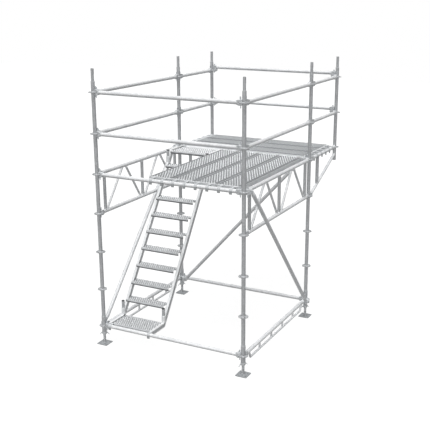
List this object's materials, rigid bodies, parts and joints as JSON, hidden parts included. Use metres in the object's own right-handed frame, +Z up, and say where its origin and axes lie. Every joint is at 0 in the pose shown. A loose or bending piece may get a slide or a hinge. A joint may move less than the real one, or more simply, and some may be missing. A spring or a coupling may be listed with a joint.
{
  "type": "modular scaffold stair tower",
  "caption": "Free-standing galvanised scaffold tower with an inner aluminium stair, a railed plank deck and a bracketed landing on its rear side.",
  "frame": {"origin": "on the ground, under the middle of the tower's box", "axes": "+Z up, +Y from the stair's foot to the bracketed landing at the rear, +X to the right of someone who faces the stair"},
  "size_m": [2.158, 3.1348, 3.53],
  "materials": {
    "galvanised_tube": "hot-dip galvanised, matt grey",
    "galvanised_casting": "hot-dip galvanised, matt grey",
    "galvanised_sheet": "galvanised sheet, perforated",
    "aluminium_section": "mill finish extrusion",
    "aluminium_sheet": "perforated mill finish sheet",
    "black_plastic": "moulded end caps"
  },
  "bodies": {
    "root": {"lower_standard_front_left": "galvanised_tube", "lower_standard_front_right": "galvanised_tube", "lower_standard_rear_right": "galvanised_tube", "lower_standard_rear_left": "galvanised_tube", "upper_standard_front_left": "galvanised_tube", "upper_standard_front_right": "galvanised_tube", "upper_standard_rear_right": "galvanised_tube", "upper_standard_rear_left": "galvanised_tube", "upper_standard_landing_left": "galvanised_tube", "upper_standard_landing_right": "galvanised_tube", "screw_jack_front_left": "galvanised_casting", "screw_jack_front_right": "galvanised_casting", "screw_jack_rear_right": "galvanised_casting", "screw_jack_rear_left": "galvanised_casting", "base_ledger_front": "galvanised_tube", "base_ledger_rear": "galvanised_tube", "base_ledger_left": "galvanised_tube", "base_ledger_right": "galvanised_tube", "deck_ledger_front": "galvanised_tube", "deck_ledger_rear": "galvanised_tube", "lattice_girder_left": "galvanised_tube", "landing_bracket_left": "galvanised_tube", "lattice_girder_right": "galvanised_tube", "landing_bracket_right": "galvanised_tube", "brace_left": "galvanised_tube", "brace_right": "galvanised_tube", "brace_rear": "galvanised_tube", "guard_rail_front_lower": "galvanised_tube", "guard_rail_front_upper": "galvanised_tube", "guard_rail_left_lower": "galvanised_tube", "guard_rail_left_upper": "galvanised_tube", "guard_rail_right_lower": "galvanised_tube", "guard_rail_right_upper": "galvanised_tube", "landing_rail_left_lower": "galvanised_tube", "landing_rail_left_upper": "galvanised_tube", "landing_rail_right_lower": "galvanised_tube", "landing_rail_right_upper": "galvanised_tube", "landing_rail_rear_lower": "galvanised_tube", "landing_rail_rear_upper": "galvanised_tube", "deck_plank_1": "galvanised_sheet", "deck_plank_2": "galvanised_sheet", "deck_plank_3": "galvanised_sheet", "deck_plank_4": "galvanised_sheet", "landing_plank_1": "galvanised_sheet", "landing_plank_2": "galvanised_sheet", "landing_plank_3": "galvanised_sheet", "stair_stringer_left": "aluminium_section", "stair_stringer_right": "aluminium_section", "stair_tread_1": "aluminium_sheet", "stair_tread_2": "aluminium_sheet", "stair_tread_3": "aluminium_sheet", "stair_tread_4": "aluminium_sheet", "stair_tread_5": "aluminium_sheet", "stair_tread_6": "aluminium_sheet", "stair_tread_7": "aluminium_sheet", "stair_tread_8": "aluminium_sheet", "stair_tread_9": "aluminium_sheet", "stair_foot_tray": "aluminium_sheet", "stair_head_tray": "aluminium_sheet"}
  },
  "joints": []
}
